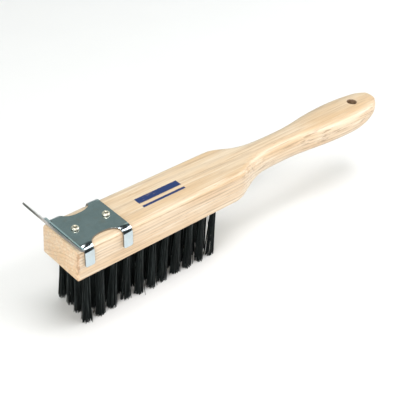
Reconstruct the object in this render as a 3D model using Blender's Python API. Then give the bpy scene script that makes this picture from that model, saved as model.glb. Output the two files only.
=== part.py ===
"""Hand wire brush: a hardwood block and handle, a sheet-steel scraper on two nails, and 44 wire tufts.

Metres, +Z up. The tufts stand on z = 0 and the handle points along +X. Shapes are drawn in block
coordinates, in millimetres: x = 0 at the block's end face, z = 0 at its underside, where the tufts leave.
"""

import math

import bmesh
import bpy
from mathutils import Vector

MM = 0.001
GAP = 0.3  # between pieces that touch
OVERCUT = 1.0  # how far a cutter runs past the face it starts from
SHARP_ANGLE = math.radians(35)

# Wood
BLOCK_WIDTH = 32.6
BLOCK_THICKNESS = 20.6
WOOD_LENGTH = 263.6
SHOULDER_X = 119.0  # the block is full width as far as here
OVAL_X = 152.0  # from here on the section is the handle's oval
OVAL_ACROSS = 0.78  # the oval's corner radii, as shares of its half width and its height
OVAL_UP = 0.44
TOP_EDGE_RADIUS = 3.7
BOTTOM_EDGE_RADIUS = 0.9
END_EASE = 0.5
HANDLE_LIFT = 2.6  # the handle's underside above the block's
CORNER_SEGMENTS = 6
HANDLE_STATIONS = 22
TIP_STATIONS = 8
# (x, half width) of the outline in plan, from the shoulder through the neck and the swell to the tip
OUTLINE = (
    (SHOULDER_X, BLOCK_WIDTH / 2),
    (126.0, 15.6),
    (132.0, 13.6),
    (139.0, 11.4),
    (147.0, 10.0),
    (157.0, 9.1),
    (170.0, 8.8),
    (182.0, 9.3),
    (194.0, 10.8),
    (206.0, 12.7),
    (220.0, 13.9),
    (234.0, 14.2),
    (245.0, 13.3),
    (252.5, 11.9),
    (257.8, 10.3),
    (261.2, 8.0),
    (WOOD_LENGTH, 5.4),
)
TIP_START_X = 238.0  # the handle's thickness rounds off from here
TIP_TOP_DROP = 1.0
TIP_BOTTOM_RISE = 13.5
TIP_POWER = 1.8  # below 2, so that the rounding starts sooner than an ellipse's
TIP_EASE = 1.0  # how far the handle's end face is set in by its rounded edge
HANG_HOLE_X = 243.9
HANG_HOLE_RADIUS = 3.2
HANG_HOLE_SINK = 0.5
HANG_HOLE_SIDES = 24

# Tufts
TUFT_ROWS = 11
TUFT_COLUMNS = 4
TUFT_PITCH_X = 9.62
TUFT_PITCH_Y = 7.35
FIRST_TUFT_X = 9.4
TRIM_LENGTH = 38.0
TUFT_SIDES = 8
TUFT_ROOT_RADIUS = 2.15
TUFT_TIP_RADIUS = 2.8
TUFT_HOLE_DEPTH = 13.0
TUFT_FOLD_TAPER = 1.2  # the folded end narrows over this length
TUFT_FOLD_SHARE = 0.6  # to this share of the root's radius

# Scraper: one bent sheet. Its flat blank is drawn as (s, v), along and across the brush.
SHEET = 1.0
BEND_X = 3.5  # the blade's bend starts here
BLADE_ANGLE = math.radians(53.3)
BLADE_BEND_RADIUS = 3.0  # on the upper face
BLADE_LENGTH = 30.0  # past the bend
BLADE_CORNER_RADIUS = 17.0
BACK_X = 36.2
TAB_LENGTH = 11.5  # below the block's top face
FOLD_ANGLE = math.radians(86)  # the tabs spring back a little from the wood
TAB_WIDTH = 6.2
TAB_CORNER_RADIUS = 1.2
RELIEF_WIDTH = 0.8  # slot between the blade's bend and the first tabs
SCALLOP_DEPTH = 7.4
SCALLOP_POWER = 2.5
SCALLOP_SEGMENTS = 18
SCALLOP_BASE_SHARE = 0.75  # the scallops start this far round the tabs' fold
BEND_SEGMENTS = 4
BLADE_CORNER_SEGMENTS = 8
TAB_CORNER_SEGMENTS = 3

# Nails
NAIL_XS = (9.9, 31.0)
NAIL_HEAD_RADIUS = 2.35
NAIL_HEAD_HEIGHT = 1.3
NAIL_SHANK_RADIUS = 0.95
NAIL_LENGTH = 16.0
NAIL_POINT_LENGTH = 2.5
NAIL_POINT_RADIUS = 0.2
NAIL_RIM = 0.15  # height of the head's upright edge
NAIL_HOLE_RADIUS = NAIL_SHANK_RADIUS + GAP
NAIL_SIDES = 16
NAIL_DOME_SEGMENTS = 4

# Worked out from the sizes above
SHEET_UNDER_Z = BLOCK_THICKNESS + GAP
TAB_FOLD_RADIUS = TOP_EDGE_RADIUS + GAP  # on the sheet's inner face
FOLD_START = BLOCK_WIDTH / 2 - TOP_EDGE_RADIUS
FOLD_ARC = FOLD_ANGLE * (TAB_FOLD_RADIUS + SHEET / 2)
TAB_END = FOLD_START + FOLD_ARC + TAB_LENGTH - TOP_EDGE_RADIUS
BLADE_ARC = BLADE_ANGLE * (BLADE_BEND_RADIUS + SHEET / 2)
BLADE_TIP = BEND_X - BLADE_ARC - BLADE_LENGTH
BLADE_HALF_WIDTH = BLOCK_WIDTH / 2 + GAP + SHEET
BLADE_REACH_X = (
    BEND_X
    - (BLADE_BEND_RADIUS + SHEET) * math.sin(BLADE_ANGLE)
    - BLADE_LENGTH * math.cos(BLADE_ANGLE)
)
CENTRE_X = (BLADE_REACH_X + WOOD_LENGTH) / 2

MATERIALS = {
    "hardwood": {"colour": (0.80, 0.60, 0.36, 1), "metallic": 0.0, "roughness": 0.55},
    "zinc_steel": {"colour": (0.60, 0.63, 0.64, 1), "metallic": 1.0, "roughness": 0.30},
    "brass": {"colour": (0.74, 0.66, 0.44, 1), "metallic": 1.0, "roughness": 0.28},
    "steel_wire": {"colour": (0.05, 0.055, 0.055, 1), "metallic": 0.9, "roughness": 0.42},
}


def clear_scene():
    for obj in list(bpy.data.objects):
        bpy.data.objects.remove(obj, do_unlink=True)


def material(name):
    found = bpy.data.materials.get(name)
    if found:
        return found
    made = bpy.data.materials.new(name)
    made.use_nodes = True
    shader = made.node_tree.nodes["Principled BSDF"]
    shader.inputs["Base Color"].default_value = MATERIALS[name]["colour"]
    shader.inputs["Metallic"].default_value = MATERIALS[name]["metallic"]
    shader.inputs["Roughness"].default_value = MATERIALS[name]["roughness"]
    return made


def place(name, mesh, parent, material_name=None, at=(0, 0, 0), smooth=True):
    """An object from a mesh in block coordinates, with its origin at the given point."""
    bmesh.ops.recalc_face_normals(mesh, faces=mesh.faces)
    bmesh.ops.scale(mesh, vec=Vector((MM, MM, MM)), verts=mesh.verts)
    data = bpy.data.meshes.new(name)
    mesh.to_mesh(data)
    mesh.free()
    if smooth:
        data.shade_smooth()
        data.set_sharp_from_angle(angle=SHARP_ANGLE)
    obj = bpy.data.objects.new(name, data)
    obj.location = Vector(at) * MM
    obj.parent = parent
    if material_name:
        data.materials.append(material(material_name))
    bpy.context.scene.collection.objects.link(obj)
    return obj


def loft(mesh, rings):
    """A closed skin over rings of points, with a face on each end."""
    loops = [[mesh.verts.new(point) for point in ring] for ring in rings]
    for near, far in zip(loops, loops[1:]):
        for i in range(len(near)):
            j = (i + 1) % len(near)
            mesh.faces.new((near[i], near[j], far[j], far[i]))
    mesh.faces.new(loops[0])
    mesh.faces.new(loops[-1][::-1])


def circle(radius, sides, z, centre=(0, 0), turn=0.5):
    """A ring of points at height z; turn is the first point's angle, in steps."""
    points = []
    for i in range(sides):
        angle = 2 * math.pi * (i + turn) / sides
        points.append((centre[0] + radius * math.cos(angle), centre[1] + radius * math.sin(angle), z))
    return points


def cutter(name, mesh, parent):
    obj = place(name, mesh, parent, smooth=False)
    obj.hide_render = True
    obj.display_type = "WIRE"
    return obj


def cut(obj, tool):
    boolean = obj.modifiers.new(tool.name, "BOOLEAN")
    boolean.operation = "DIFFERENCE"
    boolean.solver = "EXACT"
    boolean.object = tool


# Wood


def blend(x, start, end):
    """0 before start, 1 after end, and a smooth rise between them."""
    t = min(max((x - start) / (end - start), 0), 1)
    return t * t * (3 - 2 * t)


def along(table, x):
    """A smooth curve through (x, value) points."""
    if x <= table[0][0]:
        return table[0][1]
    last = len(table) - 2
    i = max(k for k in range(last + 1) if table[k][0] <= x)
    (x0, y0), (x1, y1) = table[i], table[i + 1]

    def slope(k):
        if k == 0:
            return 0.0
        if k == last + 1:
            return (table[k][1] - table[k - 1][1]) / (table[k][0] - table[k - 1][0])
        return (table[k + 1][1] - table[k - 1][1]) / (table[k + 1][0] - table[k - 1][0])

    span = x1 - x0
    t = (x - x0) / span
    return (
        y0 * (1 + 2 * t) * (1 - t) ** 2
        + slope(i) * span * t * (1 - t) ** 2
        + y1 * t * t * (3 - 2 * t)
        + slope(i + 1) * span * t * t * (t - 1)
    )


def wood_section(x, inset=0.0):
    """The ring of points round the wood at x: a block with eased edges that turns into an oval handle."""
    half = along(OUTLINE, x) - inset
    handle = blend(x, SHOULDER_X, OVAL_X)
    tip = max(x - TIP_START_X, 0) / (WOOD_LENGTH - TIP_START_X)
    rounding = 1 - math.sqrt(1 - tip**TIP_POWER)
    top = BLOCK_THICKNESS - inset - TIP_TOP_DROP * rounding
    bottom = HANDLE_LIFT * handle + inset + TIP_BOTTOM_RISE * rounding
    tall = top - bottom
    oval_across = OVAL_ACROSS * half
    oval_up = OVAL_UP * tall
    upper = (
        TOP_EDGE_RADIUS + handle * (oval_across - TOP_EDGE_RADIUS),
        TOP_EDGE_RADIUS + handle * (oval_up - TOP_EDGE_RADIUS),
    )
    lower = (
        BOTTOM_EDGE_RADIUS + handle * (oval_across - BOTTOM_EDGE_RADIUS),
        BOTTOM_EDGE_RADIUS + handle * (oval_up - BOTTOM_EDGE_RADIUS),
    )
    corners = ((1, 1, upper, 0), (-1, 1, upper, 1), (-1, -1, lower, 2), (1, -1, lower, 3))
    ring = []
    for side, rise, (across, up), quarter in corners:
        y = side * (half - across)
        z = (top - up) if rise > 0 else (bottom + up)
        for i in range(CORNER_SEGMENTS + 1):
            angle = math.pi / 2 * (quarter + i / CORNER_SEGMENTS)
            ring.append((x, y + across * math.cos(angle), z + up * math.sin(angle)))
    return ring


def wood_stations():
    """Where the wood's sections stand: evenly to the tip, then closer and closer together."""
    body_step = (TIP_START_X - SHOULDER_X) / HANDLE_STATIONS
    tip_step = math.pi / 2 / TIP_STATIONS
    body = [SHOULDER_X + body_step * i for i in range(HANDLE_STATIONS)]
    tip = [
        TIP_START_X + (WOOD_LENGTH - TIP_START_X) * math.sin(tip_step * i)
        for i in range(TIP_STATIONS)
    ]
    return [END_EASE] + body + tip + [WOOD_LENGTH - TIP_EASE / 2]


def tuft_points():
    for row in range(TUFT_ROWS):
        for column in range(TUFT_COLUMNS):
            x = FIRST_TUFT_X + row * TUFT_PITCH_X
            y = (column - (TUFT_COLUMNS - 1) / 2) * TUFT_PITCH_Y
            yield row, column, x, y


def handle_block(parent):
    mesh = bmesh.new()
    sections = [wood_section(x) for x in wood_stations()]
    loft(mesh, [wood_section(0, END_EASE)] + sections + [wood_section(WOOD_LENGTH, TIP_EASE)])
    wood = place("handle_block", mesh, parent, "hardwood")

    holes = bmesh.new()
    radius = TUFT_ROOT_RADIUS + GAP / math.cos(math.pi / TUFT_SIDES)
    for _, _, x, y in tuft_points():
        loft(holes, [circle(radius, TUFT_SIDES, z, (x, y)) for z in (-OVERCUT, TUFT_HOLE_DEPTH)])
    cut(wood, cutter("tuft_hole_cutter", holes, parent))

    cut(wood, cutter("hang_hole_cutter", hang_hole(), parent))
    return wood


def hang_hole():
    """A through hole with a small countersink in the handle's top."""
    mesh = bmesh.new()
    sink = HANG_HOLE_SINK
    profile = (
        (HANG_HOLE_RADIUS, -OVERCUT),
        (HANG_HOLE_RADIUS, BLOCK_THICKNESS - sink),
        (HANG_HOLE_RADIUS + sink + OVERCUT, BLOCK_THICKNESS + OVERCUT),
    )
    loft(mesh, [circle(radius, HANG_HOLE_SIDES, z, (HANG_HOLE_X, 0)) for radius, z in profile])
    return mesh


# Scraper


def scallop(start, end):
    """A superellipse that dips from one tab's edge to the next, towards v = 0."""
    middle = (start + end) / 2
    half = (end - start) / 2
    base = FOLD_START + SCALLOP_BASE_SHARE * FOLD_ARC
    power = 2 / SCALLOP_POWER
    points = []
    for i in range(SCALLOP_SEGMENTS + 1):
        angle = math.pi * i / SCALLOP_SEGMENTS
        across = math.copysign(abs(math.cos(angle)) ** power, math.cos(angle))
        points.append((middle - half * across, base - SCALLOP_DEPTH * math.sin(angle) ** power))
    return points


def corner(centre, radius, start, segments):
    """A quarter arc about a centre, from start degrees, turning clockwise."""
    points = []
    for i in range(segments + 1):
        angle = math.radians(start - 90 * i / segments)
        points.append((centre[0] + radius * math.cos(angle), centre[1] + radius * math.sin(angle)))
    return points


def tab(start, end):
    r = TAB_CORNER_RADIUS
    near = corner((start + r, TAB_END - r), r, 180, TAB_CORNER_SEGMENTS)
    far = corner((end - r, TAB_END - r), r, 90, TAB_CORNER_SEGMENTS)
    return near + far


def blank_half():
    """The blank's outline on the side where v is positive, from the blade's tip to the back edge."""
    r = BLADE_CORNER_RADIUS
    front = BEND_X + RELIEF_WIDTH / 2
    slot_end = FOLD_START - GAP
    outline = corner((BLADE_TIP + r, BLADE_HALF_WIDTH - r), r, 180, BLADE_CORNER_SEGMENTS)
    outline += [(BEND_X - RELIEF_WIDTH / 2, BLADE_HALF_WIDTH), (BEND_X - RELIEF_WIDTH / 2, slot_end)]
    outline += [(front, slot_end)]
    outline += tab(front, front + TAB_WIDTH)
    outline += scallop(front + TAB_WIDTH, BACK_X - TAB_WIDTH)
    outline += tab(BACK_X - TAB_WIDTH, BACK_X)
    return outline


def split(mesh, point, normal):
    bmesh.ops.bisect_plane(
        mesh, geom=mesh.verts[:] + mesh.edges[:] + mesh.faces[:], plane_co=point, plane_no=normal
    )


def bent(point):
    """Where a point of the flat blank goes: (s, v, height above the sheet's underside) to (x, y, z)."""
    s, v, w = point
    if s < BEND_X:
        reach = min(BEND_X - s, BLADE_ARC)
        angle = reach / (BLADE_BEND_RADIUS + SHEET / 2)
        radius = BLADE_BEND_RADIUS + SHEET - w
        past = BEND_X - s - reach
        x = BEND_X - radius * math.sin(angle) - past * math.cos(angle)
        z = SHEET + BLADE_BEND_RADIUS - radius * math.cos(angle) + past * math.sin(angle)
        return Vector((x, v, SHEET_UNDER_Z + z))
    reach = min(max(abs(v) - FOLD_START, 0), FOLD_ARC)
    angle = reach / (TAB_FOLD_RADIUS + SHEET / 2)
    radius = TAB_FOLD_RADIUS + w
    past = max(abs(v) - FOLD_START - FOLD_ARC, 0)
    y = min(abs(v), FOLD_START) + radius * math.sin(angle) + past * math.cos(FOLD_ANGLE)
    z = SHEET_UNDER_Z - TAB_FOLD_RADIUS + radius * math.cos(angle) - past * math.sin(FOLD_ANGLE)
    return Vector((s, math.copysign(y, v), z))


def scraper(parent):
    half = blank_half()
    outline = half + [(s, -v) for s, v in reversed(half)]
    mesh = bmesh.new()
    face = mesh.faces.new([mesh.verts.new((s, v, 0)) for s, v in outline])
    grown = bmesh.ops.extrude_face_region(mesh, geom=[face])
    top = [item for item in grown["geom"] if isinstance(item, bmesh.types.BMVert)]
    bmesh.ops.translate(mesh, vec=(0, 0, SHEET), verts=top)
    for i in range(BEND_SEGMENTS + 1):
        share = i / BEND_SEGMENTS
        split(mesh, (BEND_X - BLADE_ARC * share, 0, 0), (1, 0, 0))
        for side in (1, -1):
            split(mesh, (0, side * (FOLD_START + FOLD_ARC * share), 0), (0, 1, 0))
    bmesh.ops.remove_doubles(mesh, verts=mesh.verts, dist=1e-4)
    bmesh.ops.triangulate(mesh, faces=mesh.faces)
    for vert in mesh.verts:
        vert.co = bent(vert.co)
    return place("scraper", mesh, parent, "zinc_steel")


# Nails


def nail(name, x, parent):
    """A domed nail, with its origin on the head's underside."""
    rings = []
    for i in range(1, NAIL_DOME_SEGMENTS):
        angle = math.pi / 2 * i / NAIL_DOME_SEGMENTS
        radius = NAIL_HEAD_RADIUS * math.sin(angle)
        rings.append(circle(radius, NAIL_SIDES, NAIL_HEAD_HEIGHT * math.cos(angle)))
    rings.append(circle(NAIL_HEAD_RADIUS, NAIL_SIDES, NAIL_RIM))
    rings.append(circle(NAIL_HEAD_RADIUS, NAIL_SIDES, 0))
    rings.append(circle(NAIL_SHANK_RADIUS, NAIL_SIDES, 0))
    rings.append(circle(NAIL_SHANK_RADIUS, NAIL_SIDES, NAIL_POINT_LENGTH - NAIL_LENGTH))
    rings.append(circle(NAIL_POINT_RADIUS, NAIL_SIDES, -NAIL_LENGTH))
    mesh = bmesh.new()
    loft(mesh, rings)
    return place(name, mesh, parent, "brass", at=(x, 0, SHEET_UNDER_Z + SHEET + GAP))


def nail_cutter(parent):
    """Both nails' holes, from below the points to above the sheet."""
    holes = bmesh.new()
    bottom = SHEET_UNDER_Z + SHEET - NAIL_LENGTH
    top = SHEET_UNDER_Z + SHEET + OVERCUT
    for x in NAIL_XS:
        loft(holes, [circle(NAIL_HOLE_RADIUS, NAIL_SIDES, z, (x, 0)) for z in (bottom, top)])
    return cutter("nail_hole_cutter", holes, parent)


# Tufts


def tuft(row, column, x, y, parent):
    """A bundle of wires from the bottom of its hole to its tips, with its origin at the hole's mouth."""
    rings = [
        circle(TUFT_TIP_RADIUS, TUFT_SIDES, -TRIM_LENGTH),
        circle(TUFT_ROOT_RADIUS, TUFT_SIDES, 0),
        circle(TUFT_ROOT_RADIUS, TUFT_SIDES, TUFT_HOLE_DEPTH - TUFT_FOLD_TAPER),
        circle(TUFT_FOLD_SHARE * TUFT_ROOT_RADIUS, TUFT_SIDES, TUFT_HOLE_DEPTH - GAP),
    ]
    mesh = bmesh.new()
    loft(mesh, rings)
    return place(f"tuft_r{row + 1:02d}_c{column + 1}", mesh, parent, "steel_wire", at=(x, y, 0))


def wire_brush():
    clear_scene()
    brush = bpy.data.objects.new("wire_brush", None)
    brush.location = Vector((-CENTRE_X, 0, TRIM_LENGTH)) * MM
    bpy.context.scene.collection.objects.link(brush)
    wood = handle_block(brush)
    sheet = scraper(brush)
    holes = nail_cutter(brush)
    cut(wood, holes)
    cut(sheet, holes)
    for number, x in enumerate(NAIL_XS, 1):
        nail(f"nail_{number}", x, brush)
    for row, column, x, y in tuft_points():
        tuft(row, column, x, y, brush)


wire_brush()
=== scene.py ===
"""Looks of a hand wire brush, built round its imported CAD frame.

Sizes are in millimetres. Shapes are drawn in block coordinates, as the CAD is: x = 0 at the block's end
face, y = 0 on the mid-plane and z = 0 at the block's underside. place() puts them in the row frame.
"""

import math
import random

import bmesh
import bpy
import numpy as np
from mathutils import Matrix, Vector


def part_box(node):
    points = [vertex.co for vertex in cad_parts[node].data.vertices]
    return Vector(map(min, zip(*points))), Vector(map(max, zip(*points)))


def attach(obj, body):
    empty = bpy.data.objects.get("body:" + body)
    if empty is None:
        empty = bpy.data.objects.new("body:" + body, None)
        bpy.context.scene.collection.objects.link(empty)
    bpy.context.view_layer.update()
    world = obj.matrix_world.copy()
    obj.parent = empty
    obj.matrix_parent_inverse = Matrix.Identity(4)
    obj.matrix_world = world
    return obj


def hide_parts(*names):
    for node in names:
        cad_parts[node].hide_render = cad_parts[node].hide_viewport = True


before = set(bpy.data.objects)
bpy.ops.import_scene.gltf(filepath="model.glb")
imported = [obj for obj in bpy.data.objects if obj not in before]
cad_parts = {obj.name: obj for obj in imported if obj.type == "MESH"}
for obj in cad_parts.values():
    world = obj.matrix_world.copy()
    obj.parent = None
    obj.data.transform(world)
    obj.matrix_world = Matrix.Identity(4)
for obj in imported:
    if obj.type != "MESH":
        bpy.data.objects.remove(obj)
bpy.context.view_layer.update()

MM = 0.001
GAP = 0.3  # between neighbouring solids of the CAD

# The frame's places and sizes
WOOD_LOW, WOOD_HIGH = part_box("handle_block")
END_X = WOOD_LOW.x
UNDERSIDE_Z = WOOD_LOW.z
BLOCK_WIDTH = (WOOD_HIGH.y - WOOD_LOW.y) / MM
BLOCK_THICKNESS = (WOOD_HIGH.z - WOOD_LOW.z) / MM
WOOD_LENGTH = (WOOD_HIGH.x - WOOD_LOW.x) / MM
TRIM_LENGTH = UNDERSIDE_Z / MM
TUFT_ROWS = 11
TUFT_COLUMNS = 4

# Wood
SHOULDER_X = 119.0  # the block starts to narrow
OVAL_X = 152.0  # the handle is a full oval from here
OVAL_ACROSS = 0.78  # the oval's corner, as a share of half its width
OVAL_UP = 0.44  # and of its height
TOP_EDGE_RADIUS = 3.7
BOTTOM_EDGE_RADIUS = 0.9
END_EASE = 0.5
END_EASE_MIDDLE = 0.16
HANDLE_LIFT = 2.6  # of the handle's underside above the block's
OUTLINE = (  # x, and half the wood's width there
    (SHOULDER_X, BLOCK_WIDTH / 2),
    (126.0, 15.6),
    (132.0, 13.6),
    (139.0, 11.4),
    (147.0, 10.0),
    (157.0, 9.1),
    (170.0, 8.8),
    (182.0, 9.3),
    (194.0, 10.8),
    (206.0, 12.7),
    (220.0, 13.9),
    (234.0, 14.2),
    (245.0, 13.3),
    (252.5, 11.9),
    (257.8, 10.3),
    (261.2, 8.0),
    (WOOD_LENGTH, 5.4),
)
TIP_START_X = 238.0
TIP_TOP_DROP = 1.0
TIP_BOTTOM_RISE = 13.5
TIP_POWER = 1.8
TIP_EASE = 1.0
HANG_HOLE_X = 243.9
HANG_HOLE_RADIUS = 3.2
HANG_HOLE_SINK = 0.5  # its rim is sunk this deep
HANG_HOLE_SIDES = 48
TUFT_HOLE_RADIUS = 2.4
TUFT_HOLE_DEPTH = 13.0
TUFT_HOLE_SIDES = 24
STATION_STEP = 2.0  # between sections of the block and handle
TIP_SECTIONS = 16
TIP_EASE_STEPS = 4
WOOD_CORNER_SEGMENTS = 10
WOOD_FLAT_SEGMENTS = 4
OVERCUT = 1.0  # how far a cutter reaches past a surface

# Scraper
SHEET = 1.0
BEND_X = 3.5  # the blade's bend starts here
BLADE_ANGLE = math.radians(53.3)
BLADE_BEND_RADIUS = 3.0
BLADE_LENGTH = 30.0  # past the bend
BLADE_CORNER_RADIUS = 17.0
BLADE_CORNER_SEGMENTS = 24
BACK_X = 36.2
TAB_LENGTH = 11.5  # about how far the tabs reach below the block's top
FOLD_ANGLE = math.radians(86)
TAB_WIDTH = 6.2
TAB_CORNER_RADIUS = 1.2
TAB_CORNER_SEGMENTS = 8
RELIEF_WIDTH = 0.5
SCALLOP_DEPTH = 7.4
SCALLOP_POWER = 2.5
SCALLOP_BASE_SHARE = 0.75  # how far round the tabs' fold it starts
SCALLOP_STEPS = 40
SHEET_EDGE_ROUNDING = 0.14
SHEET_BEND_SEGMENTS = 14
SAME_POINT = 1e-4
FLAT_WITHIN = math.radians(0.6)

SHEET_UNDER_Z = BLOCK_THICKNESS + GAP
TAB_FOLD_RADIUS = TOP_EDGE_RADIUS + GAP
FOLD_START = BLOCK_WIDTH / 2 - TOP_EDGE_RADIUS
FOLD_ARC = FOLD_ANGLE * (TAB_FOLD_RADIUS + SHEET / 2)
TAB_END = FOLD_START + FOLD_ARC + TAB_LENGTH - TOP_EDGE_RADIUS
BLADE_ARC = BLADE_ANGLE * (BLADE_BEND_RADIUS + SHEET / 2)
BLADE_TIP = BEND_X - BLADE_ARC - BLADE_LENGTH
BLADE_HALF_WIDTH = BLOCK_WIDTH / 2 + GAP + SHEET

# Nails
NAIL_SIDES = 48
NAIL_HEAD = (  # shares of the head's radius and of its height, from the middle out
    (0.02, 0.66),
    (0.18, 0.67),
    (0.32, 0.72),
    (0.42, 0.82),
    (0.50, 0.93),
    (0.58, 0.99),
    (0.66, 1.00),
    (0.75, 0.95),
    (0.84, 0.84),
    (0.92, 0.66),
    (0.97, 0.46),
    (1.00, 0.24),
    (0.985, 0.08),
    (0.94, 0.0),
)
NAIL_SHANK_RADIUS = 0.95
NAIL_LENGTH = 16.0
NAIL_POINT_LENGTH = 2.5
NAIL_POINT_RADIUS = 0.15
NAIL_HOLE_RADIUS = NAIL_SHANK_RADIUS + GAP
NAIL_HOLE_SIDES = {"wood": 20, "sheet": 32}
NAILS = ("nail_1", "nail_2")

# Wires and anchors
WIRES_PER_TUFT = 40
WIRE_RADIUS = 0.18
WIRE_SIDES = 5
ROOT_MARGIN = 0.35  # between the outermost wires' middles and the hole's wall
GOLDEN_SHARE = 0.618034  # spaces the wires evenly in their hole
FLARE = (1.05, 1.75)  # how many times farther from the tuft's middle a wire ends than it starts
FLARE_POWER = 1.2
TIP_SCATTER = 0.38
BENT_SHARE = 0.05  # of the legs are bent, and their tips scatter more
BENT_SCATTER = 1.5
TRIM_SCATTER = 0.5
BROKEN_SHARE = 0.1  # of the legs have broken off, by up to BROKEN_LENGTH
BROKEN_LENGTH = 3
MOST_LOST = 4  # by a leg to trimming and breaking together
WAVE = (0.02, 0.12)
WAVE_TURNS = (0.6, 1.4)
WAVE_ACROSS = 0.7  # the wave's size across the brush, as a share of its size along it
TUFT_LEAN = (0.5, 0.4)  # how much the tufts' tips scatter along and across the brush
OUTWARD_LEAN = 0.35  # of a tuft at the block's side, and less towards the middle
HANK_TURN = 0.25  # most that a hank is turned in its hole, in radians
HANK_SHEAR = 0.2
STRAY_TUFT = (10, 0)  # row and column of the tuft with one wire bent well clear
STRAY_LEAN = (3.4, -0.6)
TOE_LEAN = 0.9  # the toe's row leans back towards the handle
TOE_WEAR = 2.4  # and is shorter towards its far column
LEG_POINTS = 8
FOLD_POINTS = 5
FOLD_DROP = 0.4  # the legs start this far below the anchor's top
FOLD_CLEARANCE = 0.35
FOLD_ROUNDNESS = 0.8
ANCHOR_THICKNESS = 0.5
ANCHOR_HEIGHT = 1.7
ANCHOR_LENGTH = 4.5
ANCHOR_TOP = 10.6
ANCHOR_EASE = (0.1, 0.12)  # across and up, where its long edges are cut back


# Meshes


def place(name, mesh, materials, smooth_angle=40):
    """An object in the row frame from a bmesh in block coordinates."""
    to_row = Matrix.Translation((END_X, 0, UNDERSIDE_Z)) @ Matrix.Scale(MM, 4)
    mesh.transform(to_row)
    data = bpy.data.meshes.new(name)
    mesh.to_mesh(data)
    mesh.free()
    for item in materials:
        data.materials.append(item)
    data.shade_smooth()
    data.set_sharp_from_angle(angle=math.radians(smooth_angle))
    obj = bpy.data.objects.new(name, data)
    bpy.context.scene.collection.objects.link(obj)
    return obj


def apply_modifiers(obj, smooth_angle):
    """Applies the object's modifiers, and shades it smooth up to an angle in degrees."""
    bpy.context.view_layer.update()
    graph = bpy.context.evaluated_depsgraph_get()
    data = bpy.data.meshes.new_from_object(obj.evaluated_get(graph))
    obj.modifiers.clear()
    obj.data = data
    data.shade_smooth()
    data.set_sharp_from_angle(angle=math.radians(smooth_angle))


def loft(mesh, rings):
    """A closed skin over rings of points, with a face on each end."""
    loops = [[mesh.verts.new(point) for point in ring] for ring in rings]
    for near, far in zip(loops, loops[1:]):
        for i in range(len(near)):
            j = (i + 1) % len(near)
            mesh.faces.new((near[i], near[j], far[j], far[i]))
    mesh.faces.new(loops[0])
    mesh.faces.new(loops[-1][::-1])


def circle(radius, sides, z, centre=(0, 0)):
    step = 2 * math.pi / sides
    return [
        (centre[0] + radius * math.cos(step * i), centre[1] + radius * math.sin(step * i), z)
        for i in range(sides)
    ]


def facing_out(mesh):
    bmesh.ops.recalc_face_normals(mesh, faces=mesh.faces)
    return mesh


def centre_of(node):
    """A node's centre in plan, and its lowest and highest z, in block coordinates."""
    low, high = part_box(node)
    x = (low.x + high.x) / 2 - END_X
    return x / MM, (low.y + high.y) / 2 / MM, (low.z - UNDERSIDE_Z) / MM, (high.z - UNDERSIDE_Z) / MM


# Node trees


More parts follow.
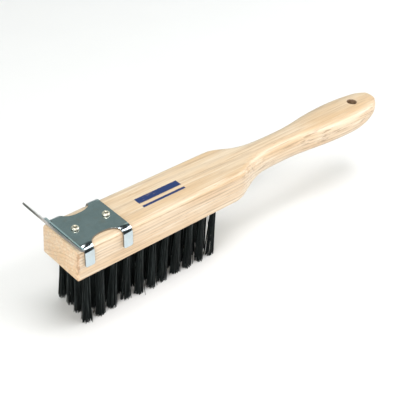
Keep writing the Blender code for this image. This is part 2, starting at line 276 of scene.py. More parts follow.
class Nodes:
    """Short calls for building a material's node tree."""

    def __init__(self, name):
        self.material = bpy.data.materials.new(name)
        self.material.use_nodes = True
        self.tree = self.material.node_tree
        self.shader = self.tree.nodes["Principled BSDF"]
        position = self.new("ShaderNodeTexCoord").outputs["Object"]
        self.mm = self.vector("SCALE", position, factor=1 / MM)

    def new(self, kind, **settings):
        node = self.tree.nodes.new(kind)
        for key, value in settings.items():
            setattr(node, key, value)
        return node

    def wire(self, source, target):
        """Links a socket, or sets a number."""
        if isinstance(source, bpy.types.NodeSocket):
            self.tree.links.new(source, target)
        else:
            target.default_value = source

    def math(self, operation, a, b=0.0, c=0.0):
        node = self.new("ShaderNodeMath", operation=operation)
        for value, target in zip((a, b, c), node.inputs):
            self.wire(value, target)
        return node.outputs[0]

    def times(self, first, *others):
        """The product of the values."""
        for value in others:
            first = self.math("MULTIPLY", first, value)
        return first

    def length(self, a, b):
        """The hypotenuse of a right triangle with sides a and b."""
        squares = self.math("ADD", self.times(a, a), self.times(b, b))
        return self.math("SQRT", squares)

    def vector(self, operation, a, b=None, factor=None):
        node = self.new("ShaderNodeVectorMath", operation=operation)
        self.wire(a, node.inputs[0])
        if b is not None:
            self.wire(b, node.inputs[1])
        if factor is not None:
            self.wire(factor, node.inputs["Scale"])
        return node.outputs[0]

    def split(self, vector):
        node = self.new("ShaderNodeSeparateXYZ")
        self.wire(vector, node.inputs[0])
        return node.outputs

    def stretched(self, scale, offset=(0, 0, 0)):
        """The position in mm times a scale on each axis."""
        return self.vector("ADD", self.vector("MULTIPLY", self.mm, scale), offset)

    def noise(self, vector, detail=2.0, roughness=0.5, distortion=0.0):
        node = self.new("ShaderNodeTexNoise")
        self.wire(vector, node.inputs["Vector"])
        self.wire(1.0, node.inputs["Scale"])
        self.wire(detail, node.inputs["Detail"])
        self.wire(roughness, node.inputs["Roughness"])
        self.wire(distortion, node.inputs["Distortion"])
        return node.outputs["Fac"]

    def spread(self, value, low, high, new_low=0.0, new_high=1.0):
        """Maps low..high smoothly to new_low..new_high, held at the ends."""
        node = self.new("ShaderNodeMapRange", interpolation_type="SMOOTHSTEP")
        for value, target in zip((value, low, high, new_low, new_high), node.inputs):
            self.wire(value, target)
        return node.outputs[0]

    def mix(self, factor, a, b):
        """Colour a where the factor is 0, and b where it is 1."""
        node = self.new("ShaderNodeMix", data_type="RGBA")
        self.wire(factor, node.inputs["Factor"])
        self.wire(a, node.inputs[6])
        self.wire(b, node.inputs[7])
        return node.outputs[2]

    def bump(self, height, strength, distance_mm):
        node = self.new("ShaderNodeBump")
        self.wire(strength, node.inputs["Strength"])
        self.wire(distance_mm * MM, node.inputs["Distance"])
        self.wire(height, node.inputs["Height"])
        return node.outputs[0]

    def set(self, **values):
        """Sets or links the shader's inputs, named with _ for each space, and returns the material."""
        for key, value in values.items():
            self.wire(value, self.shader.inputs[key.replace("_", " ")])
        return self.material


def colour(red, green, blue):
    return (red, green, blue, 1.0)


# Wood material


PITH = (-38.0, -46.0)  # y and z of the tree's centre, in millimetres in the row frame
RING_WIDTH = 2.3
RING_SLANT = 0.016  # how far the rings run off the grain in each millimetre of length
RING_WANDER = 3.2
RING_RIPPLE = 0.3
SWELL_X = 165.0  # the handle's top is more orange past here
SWELL_FADE = 55.0
MARK_CENTRE = (69.0, -1.5)
MARK_HALF_LENGTH = 16.0
MARK_BARS = ((1.6, 2.6), (-4.2, 1.0))  # each bar's offset across the block, and half its width
MARK_RAGGED = 0.5
MARK_FADE = 0.25
PALE_WOOD = colour(0.80, 0.65, 0.475)
HONEY = colour(0.73, 0.525, 0.32)
BROWN = colour(0.42, 0.27, 0.155)
CREAM = colour(0.90, 0.80, 0.66)
PORE_BROWN = colour(0.36, 0.21, 0.10)
END_GRAIN = colour(0.74, 0.48, 0.26)
ORANGE = colour(0.70, 0.46, 0.24)
TORN_SHADE = colour(0.42, 0.22, 0.10)
TORN_LIGHT = colour(0.90, 0.62, 0.38)
# Painted shade, partly stain, inside the hang hole and round its rim.
HOLE_SHADE_AND_STAIN = colour(0.16, 0.085, 0.04)
INK = colour(0.003, 0.022, 0.13)


def ring_phase(n):
    """Where a point lies in its growth ring, from 0 to 1, and the ring's number."""
    x, y, z = n.split(n.mm)
    wander = n.noise(n.stretched((0.011, 0.05, 0.05)))
    ripple = n.noise(n.stretched((0.03, 0.35, 0.35)))
    radius = n.length(n.math("SUBTRACT", y, PITH[0]), n.math("SUBTRACT", z, PITH[1]))
    radius = n.math("MULTIPLY_ADD", x, RING_SLANT, radius)
    radius = n.math("MULTIPLY_ADD", wander, RING_WANDER, radius)
    radius = n.math("MULTIPLY_ADD", ripple, RING_RIPPLE, radius)
    rings = n.math("DIVIDE", radius, RING_WIDTH)
    return n.math("FRACT", rings), n.math("FLOOR", rings)


def early_wood(n):
    """The open, darker part of each growth ring, stronger in some rings than in others."""
    phase, ring = ring_phase(n)
    band = n.times(n.spread(phase, 0.50, 0.88), n.spread(phase, 1.0, 0.93))
    per_ring = n.new("ShaderNodeTexWhiteNoise", noise_dimensions="1D")
    n.wire(ring, per_ring.inputs["W"])
    return n.times(band, n.math("MULTIPLY_ADD", per_ring.outputs["Value"], 0.75, 0.25))


def wood_pores(n, early):
    """Open pores: dots on end grain and short dashes along the grain, thickest in the early wood."""
    cells = n.new("ShaderNodeTexVoronoi", feature="F1")
    n.wire(n.stretched((0.12, 1.7, 1.7)), cells.inputs["Vector"])
    n.wire(1.0, cells.inputs["Scale"])
    size = n.math("MULTIPLY_ADD", early, 0.20, 0.15)
    return n.spread(cells.outputs["Distance"], size, n.math("MULTIPLY", size, 0.45))


def printed_mark(n):
    """Two plain bars in worn ink, along the block's top. 1 where there is ink."""
    x, y, z = n.split(n.mm)
    edge = n.noise(n.stretched((1.3, 1.3, 1.3)), detail=3)
    edge = n.math("MULTIPLY_ADD", edge, MARK_RAGGED, -MARK_RAGGED / 2)
    along = n.math("ABSOLUTE", n.math("SUBTRACT", x, MARK_CENTRE[0] + END_X / MM))
    along = n.spread(n.math("ADD", along, edge), MARK_HALF_LENGTH, MARK_HALF_LENGTH - MARK_FADE)
    ink = 0.0
    for offset, half in MARK_BARS:
        across = n.math("ABSOLUTE", n.math("SUBTRACT", y, MARK_CENTRE[1] + offset))
        bar = n.spread(n.math("ADD", across, edge), half, half - MARK_FADE)
        ink = n.math("MAXIMUM", bar, ink)
    top_z = TRIM_LENGTH + BLOCK_THICKNESS
    return n.times(ink, along, n.spread(z, top_z - 1.0, top_z - 0.5))


def face_direction(n):
    """Masks from the surface's direction: 1 on faces cut across the grain, and 1 on faces that look up."""
    x, _, z = n.split(n.new("ShaderNodeNewGeometry").outputs["Normal"])
    return n.spread(n.math("ABSOLUTE", x), 0.55, 0.95), n.spread(z, 0.6, 0.98)


def torn_edge(n):
    """1 along the end face's near upright edge, where the saw tore the grain."""
    x, y, _ = n.split(n.mm)
    ragged = n.noise(n.stretched((0.5, 0.5, 0.5), (2, 9, 4)), detail=3)
    reach = n.math("MULTIPLY_ADD", ragged, 3.0, -1.5)
    from_end = n.math("ADD", n.math("SUBTRACT", x, END_X / MM), reach)
    from_side = n.math("ADD", n.math("ADD", y, BLOCK_WIDTH / 2), reach)
    return n.times(n.spread(from_end, 1.6, 0.3), n.spread(from_side, 2.6, 0.8))


def hole_shade_and_stain(n):
    """1 inside the hang hole and round its rim, where the wood is dark: painted shade in the hole, with
    some stain.
    """
    x, y, _ = n.split(n.mm)
    away = n.length(n.math("SUBTRACT", x, HANG_HOLE_X + END_X / MM), y)
    wobble = n.noise(n.stretched((0.6, 0.6, 0.6)))
    away = n.math("MULTIPLY_ADD", wobble, 0.6, away)
    return n.spread(away, HANG_HOLE_RADIUS + 0.9, HANG_HOLE_RADIUS + 0.3)


def grain_colour(n, early, pores, fibres, upward):
    """The wood's colour with its rings, streaks, pale and dark lines, fibres and pores."""
    streaks = n.noise(n.stretched((0.012, 0.42, 0.42), (31, 7, 3)), detail=4, roughness=0.6)
    lines = n.noise(n.stretched((0.026, 0.85, 0.85), (3, 27, 13)), detail=3, roughness=0.55)
    pale_lines = n.noise(n.stretched((0.02, 0.7, 0.7), (51, 5, 33)), detail=3, roughness=0.55)
    patches = n.noise(n.stretched((0.02, 0.09, 0.09), (5, 11, 17)))
    figure = n.math("MULTIPLY_ADD", upward, -0.45, 1.0)
    line_depth = n.spread(n.split(n.mm)[0], SHOULDER_X + END_X / MM, OVAL_X + END_X / MM, 0.55, 0.85)
    base = n.mix(n.spread(patches, 0.35, 0.68), PALE_WOOD, HONEY)
    base = n.mix(n.spread(streaks, 0.42, 0.70, 0.0, 0.45), base, HONEY)
    base = n.mix(n.times(n.spread(pale_lines, 0.52, 0.68), 0.55), base, CREAM)
    base = n.mix(n.times(early, figure, 0.60), base, BROWN)
    base = n.mix(n.times(n.spread(lines, 0.53, 0.66), figure, line_depth), base, BROWN)
    base = n.mix(n.spread(fibres, 0.50, 0.80, 0.0, 0.60), base, BROWN)
    return n.mix(n.times(pores, figure, 0.7), base, PORE_BROWN)


def marked_colour(n, base, pores, blotches, torn, cut_across, upward):
    """The colour with its end grain, orange handle, torn edge, painted shade and stain in the hang hole,
    and printed mark.
    """
    base = n.mix(n.times(cut_across, n.spread(blotches, 0.35, 0.65, 0.0, 0.55)), base, END_GRAIN)
    swell = SWELL_X + END_X / MM
    handle_end = n.spread(n.split(n.mm)[0], swell, swell + SWELL_FADE)
    base = n.mix(n.times(handle_end, upward, 0.35), base, ORANGE)
    torn_tone = n.mix(n.spread(blotches, 0.4, 0.6), TORN_SHADE, TORN_LIGHT)
    base = n.mix(n.times(torn, 0.75), base, torn_tone)
    # Painted shade, partly stain: the hang hole's wall and rim are darkened.
    base = n.mix(n.times(hole_shade_and_stain(n), 0.85), base, HOLE_SHADE_AND_STAIN)
    return n.mix(n.times(printed_mark(n), n.spread(pores, 0.2, 0.9, 1.0, 0.45)), base, INK)


def wood_material():
    n = Nodes("ash_wood")
    early = early_wood(n)
    pores = wood_pores(n, early)
    fibres = n.noise(n.stretched((0.045, 1.5, 1.5)), detail=6, roughness=0.65)
    blotches = n.noise(n.stretched((0.3, 0.34, 0.34), (1, 2, 8)), detail=4, roughness=0.6)
    torn = torn_edge(n)
    cut_across, upward = face_direction(n)
    base = grain_colour(n, early, pores, fibres, upward)
    base = marked_colour(n, base, pores, blotches, torn, cut_across, upward)
    rough = n.math("MULTIPLY_ADD", fibres, 0.25, 0.25)
    rough = n.math("MULTIPLY_ADD", cut_across, 0.22, rough)
    relief = n.math("MULTIPLY_ADD", pores, -1.0, n.times(fibres, 0.5))
    relief = n.math("MULTIPLY_ADD", early, -0.35, relief)
    relief = n.math("MULTIPLY_ADD", n.times(torn, blotches), 3.0, relief)
    return n.set(Base_Color=base, Roughness=rough, Specular_IOR_Level=0.9, Normal=n.bump(relief, 0.5, 0.10))


# Metal materials


def zinc_material():
    n = Nodes("zinc_plate")
    clouds = n.noise(n.stretched((0.11, 0.11, 0.11)), detail=4, roughness=0.6, distortion=0.6)
    tint = n.noise(n.stretched((0.2, 0.2, 0.2), (7, 3, 5)))
    spangle = n.noise(n.stretched((0.7, 0.7, 0.7)), detail=5, roughness=0.7)
    scratches = n.noise(n.stretched((0.25, 5.0, 5.0), (3, 1, 9)), detail=3)
    base = n.mix(n.spread(clouds, 0.3, 0.75), colour(0.61, 0.70, 0.74), colour(0.52, 0.61, 0.64))
    base = n.mix(n.spread(tint, 0.5, 0.75, 0.0, 0.4), base, colour(0.62, 0.60, 0.55))
    base = n.mix(n.spread(spangle, 0.55, 0.8, 0.0, 0.3), base, colour(0.70, 0.76, 0.78))
    rough = n.math("MULTIPLY_ADD", spangle, 0.10, 0.09)
    rough = n.math("MULTIPLY_ADD", n.spread(scratches, 0.55, 0.75), 0.08, rough)
    relief = n.math("MULTIPLY_ADD", scratches, 0.4, spangle)
    n.set(Specular_Tint=colour(0.45, 0.47, 0.47))
    return n.set(Base_Color=base, Metallic=1.0, Roughness=rough, Normal=n.bump(relief, 0.08, 0.03))


def cut_edge_material():
    n = Nodes("sheared_edge")
    tear = n.noise(n.stretched((2.2, 2.2, 0.8)), detail=4, roughness=0.7)
    base = n.mix(tear, colour(0.34, 0.33, 0.31), colour(0.22, 0.21, 0.20))
    rough = n.math("MULTIPLY_ADD", tear, 0.25, 0.42)
    return n.set(Base_Color=base, Metallic=1.0, Roughness=rough, Normal=n.bump(tear, 0.5, 0.06))


def brass_material(number):
    """Pale brass, with a painted dark reflection in the dish of the nail's head."""
    n = Nodes(f"pale_brass_{number}")
    centre_x = centre_of(f"nail_{number}")[0] + END_X / MM
    x, y, _ = n.split(n.mm)
    away = n.length(n.math("SUBTRACT", x, centre_x), y)
    marks = n.noise(n.stretched((1.4, 1.4, 1.4)), detail=5, roughness=0.65)
    away = n.math("MULTIPLY_ADD", marks, 0.5, away)
    base = n.mix(n.spread(marks, 0.35, 0.75), colour(0.93, 0.89, 0.76), colour(0.78, 0.72, 0.55))
    # Painted dark reflection: the head is coloured dark towards the middle of its dish.
    base = n.mix(n.spread(away, 1.65, 1.15, 0.0, 0.8), base, colour(0.26, 0.22, 0.15))
    rough = n.math("MULTIPLY_ADD", marks, 0.2, 0.30)
    return n.set(Base_Color=base, Metallic=0.9, Roughness=rough, Normal=n.bump(marks, 0.3, 0.05))


def wire_material():
    n = Nodes("black_steel_wire")
    strands = n.noise(n.stretched((1.9, 1.9, 0.02)), roughness=0.6)
    scale = n.noise(n.stretched((2.5, 2.5, 0.3), (4, 4, 4)), detail=3)
    base = n.mix(n.spread(strands, 0.48, 0.68), colour(0.010, 0.014, 0.014), colour(0.045, 0.057, 0.057))
    base = n.mix(n.spread(scale, 0.55, 0.8, 0.0, 0.5), base, colour(0.012, 0.014, 0.013))
    rough = n.math("MULTIPLY_ADD", scale, 0.25, 0.24)
    return n.set(Base_Color=base, Metallic=0.8, Roughness=rough, Specular_IOR_Level=0.3)


def anchor_material():
    n = Nodes("flat_anchor_wire")
    drawn = n.noise(n.stretched((4.0, 0.3, 4.0)), detail=3)
    base = n.mix(drawn, colour(0.42, 0.43, 0.43), colour(0.60, 0.60, 0.58))
    rough = n.math("MULTIPLY_ADD", drawn, 0.2, 0.3)
    return n.set(Base_Color=base, Metallic=1.0, Roughness=rough)


def floor_material():
    n = Nodes("pale_floor")
    grain = n.noise(n.stretched((0.02, 0.02, 0.02)))
    base = n.mix(grain, colour(0.90, 0.90, 0.90), colour(0.92, 0.92, 0.92))
    return n.set(Base_Color=base, Roughness=0.7)


# Wood


def blend(x, start, end):
    """0 before start, 1 after end, and a smooth rise between them."""
    t = min(max((x - start) / (end - start), 0), 1)
    return t * t * (3 - 2 * t)


def along(table, x):
    """A smooth curve through (x, value) points."""
    if x <= table[0][0]:
        return table[0][1]
    last = len(table) - 2
    i = max(k for k in range(last + 1) if table[k][0] <= x)
    (x0, y0), (x1, y1) = table[i], table[i + 1]

    def slope(k):
        if k == 0:
            return 0.0
        if k == last + 1:
            return (table[k][1] - table[k - 1][1]) / (table[k][0] - table[k - 1][0])
        return (table[k + 1][1] - table[k - 1][1]) / (table[k + 1][0] - table[k - 1][0])

    span = x1 - x0
    t = (x - x0) / span
    return (
        y0 * (1 + 2 * t) * (1 - t) ** 2
        + slope(i) * span * t * (1 - t) ** 2
        + y1 * t * t * (3 - 2 * t)
        + slope(i + 1) * span * t * t * (t - 1)
    )


def wood_section(x, inset=0.0):
    """The ring of points round the wood at x: a block with eased edges that turns into an oval handle."""
    half = along(OUTLINE, x) - inset
    handle = blend(x, SHOULDER_X, OVAL_X)
    tip = min(max(x - TIP_START_X, 0) / (WOOD_LENGTH - TIP_START_X), 1)
    rounding = 1 - math.sqrt(1 - tip**TIP_POWER)
    top = BLOCK_THICKNESS - inset - TIP_TOP_DROP * rounding
    bottom = HANDLE_LIFT * handle + inset + TIP_BOTTOM_RISE * rounding
    oval_across = OVAL_ACROSS * half
    oval_up = OVAL_UP * (top - bottom)
    upper = (
        TOP_EDGE_RADIUS + handle * (oval_across - TOP_EDGE_RADIUS),
        TOP_EDGE_RADIUS + handle * (oval_up - TOP_EDGE_RADIUS),
    )
    lower = (
        BOTTOM_EDGE_RADIUS + handle * (oval_across - BOTTOM_EDGE_RADIUS),
        BOTTOM_EDGE_RADIUS + handle * (oval_up - BOTTOM_EDGE_RADIUS),
    )
    corners = ((1, 1, upper, 0), (-1, 1, upper, 1), (-1, -1, lower, 2), (1, -1, lower, 3))
    arcs = []
    for side, rise, (across, up), quarter in corners:
        y = side * (half - across)
        z = (top - up) if rise > 0 else (bottom + up)
        arc = []
        for i in range(WOOD_CORNER_SEGMENTS + 1):
            angle = math.pi / 2 * (quarter + i / WOOD_CORNER_SEGMENTS)
            arc.append(Vector((x, y + across * math.cos(angle), z + up * math.sin(angle))))
        arcs.append(arc)
    ring = []
    for arc, following in zip(arcs, arcs[1:] + arcs[:1]):
        ring += arc
        for i in range(1, WOOD_FLAT_SEGMENTS):
            ring.append(arc[-1].lerp(following[0], i / WOOD_FLAT_SEGMENTS))
    return ring


def wood_stations():
    """Where the wood's sections lie along x, closer together towards the tip."""
    body = int((TIP_START_X - END_EASE) / STATION_STEP)
    stations = [END_EASE + (TIP_START_X - END_EASE) * i / body for i in range(body)]
    for i in range(TIP_SECTIONS):
        angle = math.pi / 2 * i / TIP_SECTIONS
        stations.append(TIP_START_X + (WOOD_LENGTH - TIP_START_X) * math.sin(angle))
    return stations


def hole_cutter():
    """Every hole in the wood as one closed mesh: the tufts', the nails' and the countersunk hang hole."""
    mesh = bmesh.new()
    for row in range(TUFT_ROWS):
        for column in range(TUFT_COLUMNS):
            x, y, _, _ = centre_of(tuft_name(row, column))
            heights = (-OVERCUT, TUFT_HOLE_DEPTH)
            loft(mesh, [circle(TUFT_HOLE_RADIUS, TUFT_HOLE_SIDES, z, (x, y)) for z in heights])
    for node in NAILS:
        x, y, low, _ = centre_of(node)
        heights = (low - GAP, BLOCK_THICKNESS + OVERCUT)
        loft(mesh, [circle(NAIL_HOLE_RADIUS, NAIL_HOLE_SIDES["wood"], z, (x, y)) for z in heights])
    profile = (
        (HANG_HOLE_RADIUS, -OVERCUT),
        (HANG_HOLE_RADIUS, BLOCK_THICKNESS - HANG_HOLE_SINK - 0.4),
        (HANG_HOLE_RADIUS + 0.12, BLOCK_THICKNESS - HANG_HOLE_SINK),
        (HANG_HOLE_RADIUS + HANG_HOLE_SINK, BLOCK_THICKNESS - 0.08),
        (HANG_HOLE_RADIUS + HANG_HOLE_SINK + OVERCUT, BLOCK_THICKNESS + OVERCUT),
    )
    loft(mesh, [circle(radius, HANG_HOLE_SIDES, z, (HANG_HOLE_X, 0)) for radius, z in profile])
    return place("hole_cutter", facing_out(mesh), [])


def add_cut(obj, tool):
    """A Boolean on the object that takes the tool's shape out of it."""
    boolean = obj.modifiers.new("holes", "BOOLEAN")
    boolean.operation = "DIFFERENCE"
    boolean.solver = "EXACT"
    boolean.object = tool


def wood():
    mesh = bmesh.new()
    rings = [wood_section(0, END_EASE), wood_section(END_EASE_MIDDLE, END_EASE_MIDDLE)]
    rings += [wood_section(x) for x in wood_stations()]
    for i in range(1, TIP_EASE_STEPS + 1):
        angle = math.pi / 2 * i / TIP_EASE_STEPS
        x = WOOD_LENGTH - TIP_EASE + TIP_EASE * math.sin(angle)
        rings.append(wood_section(x, TIP_EASE * (1 - math.cos(angle))))
    loft(mesh, rings)
    obj = place("handle_wood", facing_out(mesh), [wood_material()])
    tool = hole_cutter()
    add_cut(obj, tool)
    apply_modifiers(obj, 35)
    bpy.data.objects.remove(tool)
    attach(obj, "root")
    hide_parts("handle_block")


# Scraper


def scallop(start, end):
    """A superellipse that dips from one tab's edge to the next, towards v = 0."""
    middle = (start + end) / 2
    half = (end - start) / 2
    base = FOLD_START + SCALLOP_BASE_SHARE * FOLD_ARC
    power = 2 / SCALLOP_POWER
    points = []
    for i in range(SCALLOP_STEPS + 1):
        angle = math.pi * i / SCALLOP_STEPS
        across = math.copysign(abs(math.cos(angle)) ** power, math.cos(angle))
        points.append((middle - half * across, base - SCALLOP_DEPTH * math.sin(angle) ** power))
    return points


def corner(centre, radius, start, segments):
    """A quarter arc about a centre, from start degrees, turning clockwise."""
    points = []
    for i in range(segments + 1):
        angle = math.radians(start - 90 * i / segments)
        points.append((centre[0] + radius * math.cos(angle), centre[1] + radius * math.sin(angle)))
    return points


def tab(start, end):
    """A tab's end, with its two rounded corners."""
    r = TAB_CORNER_RADIUS
    first = corner((start + r, TAB_END - r), r, 180, TAB_CORNER_SEGMENTS)
    return first + corner((end - r, TAB_END - r), r, 90, TAB_CORNER_SEGMENTS)


def blank_half():
    """The blank's outline on the side where v is positive, from the blade's tip to the back edge."""
    r = BLADE_CORNER_RADIUS
    slot_front = BEND_X - RELIEF_WIDTH / 2
    slot_back = BEND_X + RELIEF_WIDTH / 2
    slot_end = FOLD_START - GAP
    outline = corner((BLADE_TIP + r, BLADE_HALF_WIDTH - r), r, 180, BLADE_CORNER_SEGMENTS)
    outline += [(slot_front, BLADE_HALF_WIDTH), (slot_front, slot_end), (slot_back, slot_end)]
    outline += tab(slot_back, slot_back + TAB_WIDTH)
    outline += scallop(slot_back + TAB_WIDTH, BACK_X - TAB_WIDTH)
    outline += tab(BACK_X - TAB_WIDTH, BACK_X)
    return outline


def bent(point):
    """Where a point of the flat blank goes: (s, v, height above the sheet's underside) to (x, y, z)."""
    s, v, w = point
    if s < BEND_X:
        reach = min(BEND_X - s, BLADE_ARC)
        angle = reach / (BLADE_BEND_RADIUS + SHEET / 2)
        radius = BLADE_BEND_RADIUS + SHEET - w
        past = BEND_X - s - reach
        x = BEND_X - radius * math.sin(angle) - past * math.cos(angle)
        z = SHEET + BLADE_BEND_RADIUS - radius * math.cos(angle) + past * math.sin(angle)
        return Vector((x, v, SHEET_UNDER_Z + z))
    reach = min(max(abs(v) - FOLD_START, 0), FOLD_ARC)
    angle = reach / (TAB_FOLD_RADIUS + SHEET / 2)
    radius = TAB_FOLD_RADIUS + w
    past = max(abs(v) - FOLD_START - FOLD_ARC, 0)
    y = min(abs(v), FOLD_START) + radius * math.sin(angle) + past * math.cos(FOLD_ANGLE)
    z = SHEET_UNDER_Z - TAB_FOLD_RADIUS + radius * math.cos(angle) - past * math.sin(FOLD_ANGLE)
    return Vector((s, math.copysign(y, v), z))


def split(mesh, point, normal):
    """New edges where a plane crosses the mesh."""
    everything = mesh.verts[:] + mesh.edges[:] + mesh.faces[:]
    bmesh.ops.bisect_plane(mesh, geom=everything, plane_co=point, plane_no=normal)


def shade_flats(data):
    """Flat shading on the sheet's flat parts, so that the rounded edges don't bend their reflections."""
    flats = [Vector((0, 0, 1)), Vector((math.sin(BLADE_ANGLE), 0, math.cos(BLADE_ANGLE)))]
    flats += [Vector((0, side * math.sin(FOLD_ANGLE), math.cos(FOLD_ANGLE))) for side in (1, -1)]
    for polygon in data.polygons:
        if any(abs(polygon.normal.dot(flat)) > math.cos(FLAT_WITHIN) for flat in flats):
            polygon.use_smooth = False


def blank():
    """The flat sheet, with its sheared edges as material 1, split where it bends."""
    half = blank_half()
    outline = half + [(s, -v) for s, v in reversed(half)]
    mesh = bmesh.new()
    mesh.faces.new([mesh.verts.new((s, v, 0)) for s, v in outline])
    bmesh.ops.remove_doubles(mesh, verts=mesh.verts, dist=SAME_POINT)
    grown = bmesh.ops.extrude_face_region(mesh, geom=mesh.faces[:])
    top = [item for item in grown["geom"] if isinstance(item, bmesh.types.BMVert)]
    bmesh.ops.translate(mesh, vec=(0, 0, SHEET), verts=top)
    facing_out(mesh)
    for face in mesh.faces:
        face.material_index = int(abs(face.normal.z) < 0.5)
    for i in range(SHEET_BEND_SEGMENTS + 1):
        share = i / SHEET_BEND_SEGMENTS
        split(mesh, (BEND_X - BLADE_ARC * share, 0, 0), (1, 0, 0))
        for side in (1, -1):
            split(mesh, (0, side * (FOLD_START + FOLD_ARC * share), 0), (0, 1, 0))
    bmesh.ops.remove_doubles(mesh, verts=mesh.verts, dist=SAME_POINT)
    return mesh


def nail_hole_cutter():
    mesh = bmesh.new()
    for node in NAILS:
        x, y, _, high = centre_of(node)
        heights = (BLOCK_THICKNESS - OVERCUT, high + OVERCUT)
        loft(mesh, [circle(NAIL_HOLE_RADIUS, NAIL_HOLE_SIDES["sheet"], z, (x, y)) for z in heights])
    return place("nail_hole_cutter", facing_out(mesh), [])


def scraper():
    mesh = blank()
    for vert in mesh.verts:
        vert.co = bent(vert.co)
    obj = place("scraper_plate", facing_out(mesh), [zinc_material(), cut_edge_material()])
    tool = nail_hole_cutter()
    add_cut(obj, tool)
    rounding = obj.modifiers.new("rounded_edges", "BEVEL")
    rounding.width = SHEET_EDGE_ROUNDING * MM
    rounding.segments = 2
    rounding.limit_method = "ANGLE"
    rounding.angle_limit = math.radians(50)
    apply_modifiers(obj, 40)
    bpy.data.objects.remove(tool)
    shade_flats(obj.data)
    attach(obj, "root")
    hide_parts("scraper")


# Nails


def nail(number, material):
    """A nail with a dished, round-rimmed head, a shank and a point."""
    node = f"nail_{number}"
    x, y, low, high = centre_of(node)
    node_low, node_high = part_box(node)
    head_radius = (node_high.x - node_low.x) / 2 / MM
    underside = low + NAIL_LENGTH
    dome = high - underside
    profile = [(head_radius * share, underside + dome * height) for share, height in NAIL_HEAD]
    profile += [(NAIL_SHANK_RADIUS, underside), (NAIL_SHANK_RADIUS, low + NAIL_POINT_LENGTH)]
    profile += [(NAIL_POINT_RADIUS, low)]
    mesh = bmesh.new()
    loft(mesh, [circle(radius, NAIL_SIDES, z, (x, y)) for radius, z in profile])
    obj = place(f"brass_nail_{number}", facing_out(mesh), [material])
    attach(obj, "root")
    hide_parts(node)


# Wires


def tuft_name(row, column):
    return f"tuft_r{row + 1:02d}_c{column + 1}"


def wire_roots():
    """Where one leg of each folded wire stands in its half of the hole."""
    radius = TUFT_HOLE_RADIUS - ROOT_MARGIN
    nearest = ANCHOR_THICKNESS / 2 + WIRE_RADIUS
    golden_angle = math.pi * (3 - math.sqrt(5))
    roots = []
    i = 0
    while len(roots) < WIRES_PER_TUFT:
        i += 1
        reach = radius * math.sqrt((i * GOLDEN_SHARE) % 1)
        angle = golden_angle * i
        x, y = abs(reach * math.cos(angle)), reach * math.sin(angle)
        if x > nearest:
            roots.append((x, y))
    return roots


def leg(root, side, lean, wear, dice):
    """Points down one leg, from the fold's side to the tip. z falls from the fold to the trimmed end."""
    x, y = side * root[0], root[1]
    flare = dice.uniform(*FLARE)
    scatter = BENT_SCATTER if dice.random() < BENT_SHARE else TIP_SCATTER
    tip_x = x * flare + lean[0] + dice.gauss(0, scatter)
    tip_y = y * flare + lean[1] + dice.gauss(0, scatter)
    short = abs(dice.gauss(0, TRIM_SCATTER))
    if dice.random() < BROKEN_SHARE:
        short += dice.uniform(0, BROKEN_LENGTH)
    end = -TRIM_LENGTH + min(short, MOST_LOST) + wear
    wave = dice.uniform(*WAVE)
    wave_phase = dice.uniform(0, 2 * math.pi)
    turns = dice.uniform(*WAVE_TURNS)
    start = ANCHOR_TOP - FOLD_DROP
    points = []
    for i in range(LEG_POINTS):
        share = i / (LEG_POINTS - 1)
        z = start + (end - start) * share
        t = min(max(z / end, 0), 1)
        grow = t**FLARE_POWER
        ripple = wave * math.sin(wave_phase + turns * 2 * math.pi * t) * min(1, 4 * t)
        points.append((x + (tip_x - x) * grow + ripple, y + (tip_y - y) * grow + WAVE_ACROSS * ripple, z))
    return points


def folded_wire(root, lean, wear, dice):
    """One wire: up one leg, over the anchor and down the other leg."""
    down = leg(root, 1, lean, wear, dice)
    up = leg(root, -1, lean, wear, dice)
    start = ANCHOR_TOP - FOLD_DROP
    rise = FOLD_DROP + FOLD_CLEARANCE + FOLD_ROUNDNESS * root[0]
    over = []
    for i in range(1, FOLD_POINTS + 1):
        angle = math.pi * i / (FOLD_POINTS + 1)
        over.append((-root[0] * math.cos(angle), root[1], start + rise * math.sin(angle)))
    return up[::-1] + over + down


def tubes(paths, radius, sides):
    """Points and faces of a closed tube along each path. The paths have the same number of points."""
    centres = np.array(paths, float)
    ahead = np.gradient(centres, axis=1)
    ahead /= np.linalg.norm(ahead, axis=2, keepdims=True)
    across = np.array((0.0, 1.0, 0.0))
    side = across - (ahead @ across)[..., None] * ahead
    side /= np.linalg.norm(side, axis=2, keepdims=True)
    third = np.cross(ahead, side)
    angles = 2 * np.pi * np.arange(sides) / sides
    rings = (
        centres[:, :, None]
        + radius * np.cos(angles)[:, None] * side[:, :, None]
        + radius * np.sin(angles)[:, None] * third[:, :, None]
    )
    count, length = centres.shape[:2]
    points = rings.reshape(-1, 3)
    faces = []
    for tube in range(count):
        first = tube * length * sides
        for i in range(length - 1):
            a = first + i * sides
            for k in range(sides):
                m = (k + 1) % sides
                faces.append((a + k, a + m, a + sides + m, a + sides + k))
        last = first + (length - 1) * sides
        faces.append(tuple(first + k for k in reversed(range(sides))))
        faces.append(tuple(last + k for k in range(sides)))
    return points, faces


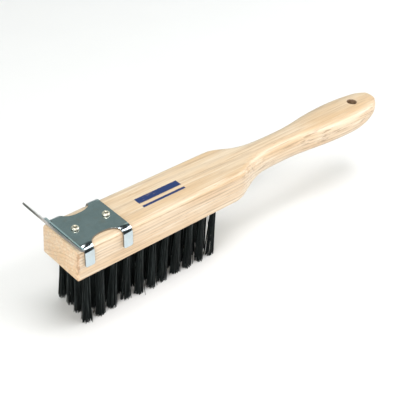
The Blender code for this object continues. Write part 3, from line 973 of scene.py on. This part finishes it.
def tuft(row, column, roots, material):
    """A bundle of wires folded over their anchor, in place of the CAD's plain tuft."""
    node = tuft_name(row, column)
    x, y, _, _ = centre_of(node)
    dice = random.Random(101 * row + 13 * column + 5)
    side = (column - (TUFT_COLUMNS - 1) / 2) / (TUFT_COLUMNS / 2)
    lean = (dice.gauss(0, TUFT_LEAN[0]), OUTWARD_LEAN * side + dice.gauss(0, TUFT_LEAN[1]))
    wear = 0.0
    if row == 0:
        lean = (lean[0] + TOE_LEAN, lean[1])
        wear = TOE_WEAR * column / (TUFT_COLUMNS - 1)
    turn = dice.uniform(-HANK_TURN, HANK_TURN)
    paths = []
    for root_x, root_y in roots:
        root = (root_x * math.cos(turn) - HANK_SHEAR * root_y * math.sin(turn), root_y)
        paths.append(folded_wire(root, lean, wear, dice))
    if (row, column) == STRAY_TUFT:
        paths.append(folded_wire(roots[0], STRAY_LEAN, wear, dice))
    points, faces = tubes(paths, WIRE_RADIUS, WIRE_SIDES)
    points = (points + (x, y, 0)) * MM + (END_X, 0, UNDERSIDE_Z)
    points[:, 2] = np.maximum(points[:, 2], 0.0)
    data = bpy.data.meshes.new(f"wires_{node}")
    data.from_pydata(points.tolist(), [], faces)
    data.materials.append(material)
    data.shade_smooth()
    data.set_sharp_from_angle(angle=math.radians(75))
    obj = bpy.data.objects.new(f"wires_r{row + 1:02d}_c{column + 1}", data)
    bpy.context.scene.collection.objects.link(obj)
    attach(obj, "root")
    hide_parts(node)


def anchors(material):
    """The flat wire staples that the tufts are folded over, one in each hole."""
    half = ANCHOR_THICKNESS / 2
    inner = half - ANCHOR_EASE[0]
    ease = ANCHOR_EASE[1]
    bottom = ANCHOR_TOP - ANCHOR_HEIGHT
    lower = [(half, bottom + ease), (inner, bottom), (-inner, bottom), (-half, bottom + ease)]
    top = ANCHOR_TOP
    upper = [(-half, top - ease), (-inner, top), (inner, top), (half, top - ease)]
    mesh = bmesh.new()
    for row in range(TUFT_ROWS):
        for column in range(TUFT_COLUMNS):
            x, y, _, _ = centre_of(tuft_name(row, column))
            ends = (y - ANCHOR_LENGTH / 2, y + ANCHOR_LENGTH / 2)
            loft(mesh, [[(x + across, end, z) for across, z in lower + upper] for end in ends])
    obj = place("tuft_anchors", facing_out(mesh), [material])
    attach(obj, "root")


# Studio


AIM = (103.71, -0.59, -0.56)  # block coordinates of the middle of the view
VIEW_ANGLES = (-45.495, 36.613, 5.140)  # azimuth, elevation and roll in degrees
VIEW_DISTANCE = 571.7
LENS = 83.69
FLOOR_HALF_SIZE = 12.0  # metres
ROOM_TONES = (  # by how far a direction points to the far side
    (0.0, (0.03, 0.035, 0.035)),
    (0.25, (0.05, 0.06, 0.06)),
    (0.45, (0.22, 0.27, 0.255)),
    (1.0, (0.32, 0.38, 0.36)),
)
GLOW_START = 0.54  # how far a direction points along X where the room starts to brighten
GLOW_END = 0.74
GLOW_FACTOR = 2.6
BACKDROP = (0.45, 0.46, 0.46, 1)
SUN_STRENGTH = 1.435
SUN_SPREAD = math.radians(30)


def camera():
    """The view from the toe's near corner, looking down along the handle."""
    target = Vector(AIM) * MM + Vector((END_X, 0, UNDERSIDE_Z))
    azimuth, elevation, roll = (math.radians(angle) for angle in VIEW_ANGLES)
    level = math.cos(elevation)
    away = Vector((math.sin(azimuth) * level, -math.cos(azimuth) * level, math.sin(elevation)))
    data = bpy.data.cameras.new("camera")
    data.sensor_width = 36.0
    data.lens = LENS
    data.clip_start = 0.01
    data.clip_end = 50
    obj = bpy.data.objects.new("camera", data)
    bpy.context.scene.collection.objects.link(obj)
    turn = (-away).to_track_quat("-Z", "Y").to_matrix() @ Matrix.Rotation(roll, 3, "Z")
    obj.matrix_world = Matrix.Translation(target + away * VIEW_DISTANCE * MM) @ turn.to_4x4()
    bpy.context.scene.camera = obj


def softbox(name, direction, distance, size, energy, tint=(1, 1, 1)):
    """A lamp that faces the brush from a direction, with its first side as near to the X axis as can be."""
    data = bpy.data.lights.new(name, "AREA")
    data.shape = "RECTANGLE"
    data.size, data.size_y = size
    data.energy = energy
    data.color = tint
    obj = bpy.data.objects.new(name, data)
    bpy.context.scene.collection.objects.link(obj)
    away = Vector(direction).normalized()
    across = (Vector((1, 0, 0)) - away * away.x).normalized()
    turn = Matrix((across, away.cross(across), away)).transposed()
    obj.matrix_world = Matrix.Translation(away * distance) @ turn.to_4x4()


def floor():
    mesh = bmesh.new()
    bmesh.ops.create_grid(mesh, x_segments=1, y_segments=1, size=FLOOR_HALF_SIZE)
    data = bpy.data.meshes.new("floor")
    mesh.to_mesh(data)
    mesh.free()
    data.materials.append(floor_material())
    obj = bpy.data.objects.new("floor", data)
    bpy.context.scene.collection.objects.link(obj)


def room_light(tree):
    """The room that metal reflects: grey-green far side, dark near side, brighter past the handle's tip."""
    direction = tree.nodes.new("ShaderNodeTexCoord")
    axes = tree.nodes.new("ShaderNodeSeparateXYZ")
    ramp = tree.nodes.new("ShaderNodeValToRGB")
    glow = tree.nodes.new("ShaderNodeMapRange")
    room = tree.nodes.new("ShaderNodeBackground")
    while len(ramp.color_ramp.elements) < len(ROOM_TONES):
        ramp.color_ramp.elements.new(0.5)
    for element, (position, tone) in zip(ramp.color_ramp.elements, ROOM_TONES):
        element.position = position
        element.color = (*tone, 1)
    glow.interpolation_type = "SMOOTHSTEP"
    glow.inputs["From Min"].default_value = GLOW_START
    glow.inputs["From Max"].default_value = GLOW_END
    glow.inputs["To Min"].default_value = 1.0
    glow.inputs["To Max"].default_value = GLOW_FACTOR
    tree.links.new(direction.outputs["Generated"], axes.inputs[0])
    tree.links.new(axes.outputs["Y"], ramp.inputs[0])
    tree.links.new(axes.outputs["X"], glow.inputs["Value"])
    tree.links.new(ramp.outputs["Color"], room.inputs["Color"])
    tree.links.new(glow.outputs["Result"], room.inputs["Strength"])
    return room


def surroundings():
    """A plain pale backdrop behind the floor, and the room's light on everything else."""
    world = bpy.data.worlds.new("studio")
    bpy.context.scene.world = world
    world.use_nodes = True
    tree = world.node_tree
    tree.nodes.clear()
    room = room_light(tree)
    backdrop = tree.nodes.new("ShaderNodeBackground")
    backdrop.inputs["Color"].default_value = BACKDROP
    path = tree.nodes.new("ShaderNodeLightPath")
    mix = tree.nodes.new("ShaderNodeMixShader")
    out = tree.nodes.new("ShaderNodeOutputWorld")
    tree.links.new(path.outputs["Is Camera Ray"], mix.inputs[0])
    tree.links.new(room.outputs[0], mix.inputs[1])
    tree.links.new(backdrop.outputs[0], mix.inputs[2])
    tree.links.new(mix.outputs[0], out.inputs["Surface"])


def broad_lamp():
    """Even light from above, over the whole floor."""
    data = bpy.data.lights.new("overhead", "SUN")
    data.energy = SUN_STRENGTH
    data.angle = SUN_SPREAD
    obj = bpy.data.objects.new("overhead", data)
    bpy.context.scene.collection.objects.link(obj)


def studio():
    camera()
    floor()
    surroundings()
    bpy.context.scene.view_settings.view_transform = "Standard"
    softbox("key_softbox", (0.573, -0.50, 0.64), distance=1.1, size=(1.5, 0.32), energy=6.2)
    softbox("handle_softbox", (0.74, -0.32, 0.61), distance=1.2, size=(0.5, 0.4), energy=2.5)
    warm = (1.0, 0.97, 0.93)
    softbox("left_softbox", (-0.75, -0.45, 0.55), distance=1.2, size=(0.9, 0.9), energy=11.0, tint=warm)
    broad_lamp()


studio()
wood()
scraper()
for number in (1, 2):
    nail(number, brass_material(number))
wire_finish = wire_material()
wire_pattern = wire_roots()
for row in range(TUFT_ROWS):
    for column in range(TUFT_COLUMNS):
        tuft(row, column, wire_pattern, wire_finish)
anchors(anchor_material())
